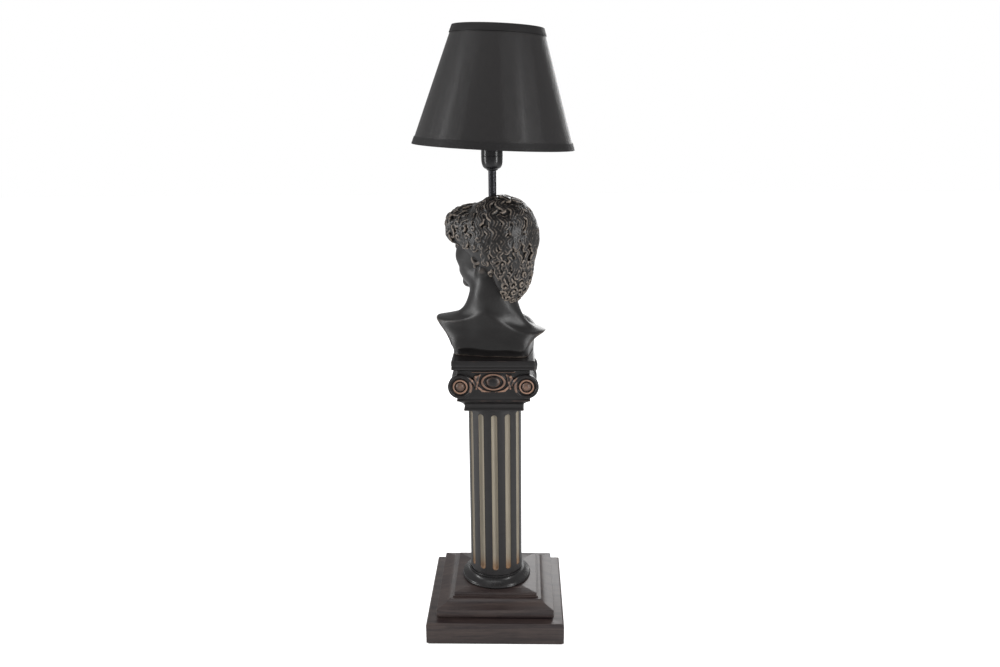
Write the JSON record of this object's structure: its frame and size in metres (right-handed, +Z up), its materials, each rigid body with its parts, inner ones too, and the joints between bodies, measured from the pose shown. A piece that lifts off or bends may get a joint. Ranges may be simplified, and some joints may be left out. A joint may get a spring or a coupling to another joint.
{
  "type": "table lamp",
  "caption": "Table lamp with a classical head bust on a fluted column with a scrolled capital, stepped wooden plinth and a leaning black cone shade.",
  "frame": {"origin": "centre of the plinth's underside, on the felt", "axes": "+Z up along the tube; -Y is the side that the chest faces; +X is the bust's left"},
  "size_m": [0.2001, 0.2004, 0.7773],
  "materials": {
    "felt": "matt needle felt",
    "stained_wood": "dark brown stain under a satin varnish",
    "zinc_steel": "bright zinc plate",
    "brass": "plain pressed brass",
    "white_plastic": "moulded",
    "ceramic": "unglazed steatite",
    "black_plastic": "moulded phenolic, glossy",
    "black_steel": "gloss black lacquer",
    "black_resin": "cast resin, black semi-gloss paint rubbed back to bronze on the high places",
    "fluted_resin": "cast resin, black flats and cream painted flutes",
    "lead_sheath": "black flexible sheath",
    "shade_laminate": "black satin weave laminated on film",
    "trim_tape": "black woven tape",
    "opal_glass": "opal candle bulb",
    "nickel": "nickelled brass",
    "cap_insulator": "black vitrite"
  },
  "bodies": {
    "stand": {"felt_pad": "felt", "plinth_board": "stained_wood", "plinth_moulding": "stained_wood", "plinth_screw_1": "zinc_steel", "plinth_screw_2": "zinc_steel", "plinth_screw_3": "zinc_steel", "plinth_screw_4": "zinc_steel", "cord_gland": "black_plastic", "terminal_block": "white_plastic", "terminal_screw_1": "brass", "terminal_screw_2": "brass", "bottom_washer": "zinc_steel", "bottom_nut": "zinc_steel", "capital_washer": "zinc_steel", "capital_nut": "zinc_steel", "stem_tube": "black_steel", "column_foot": "black_resin", "column_shaft": "fluted_resin", "capital": "black_resin", "bust": "black_resin", "inner_lead": "lead_sheath", "holder_dome": "black_plastic", "holder_skirt": "black_plastic", "holder_insert": "ceramic", "holder_shell": "brass", "centre_contact": "brass", "holder_screw_1": "brass", "holder_screw_2": "brass", "shade_ring_lower": "black_plastic"},
    "shade": {"fitter_plate": "black_steel", "shade_arm_1": "black_steel", "shade_arm_2": "black_steel", "shade_arm_3": "black_steel", "bottom_wire_ring": "black_steel", "top_wire_ring": "black_steel", "shade_cover": "shade_laminate", "bottom_trim": "trim_tape", "top_trim": "trim_tape"},
    "ring_nut": {"shade_ring_upper": "black_plastic"},
    "bulb": {"bulb_glass": "opal_glass", "bulb_cap": "nickel", "bulb_insulator": "cap_insulator", "bulb_contact": "nickel"}
  },
  "joints": [
    {"name": "shade_turn", "type": "hinge", "parent": "stand", "child": "shade", "pos_m": [0, 0, 0.6437], "axis": [0, 0, 1], "continuous": true},
    {"name": "ring_nut_run", "type": "slide", "parent": "stand", "child": "ring_nut", "axis": [0, 0, 1], "range_m": [0, 0.0065]},
    {"name": "bulb_lift", "type": "slide", "parent": "stand", "child": "bulb", "axis": [0, 0, 1], "range_m": [0, 0.15]}
  ]
}
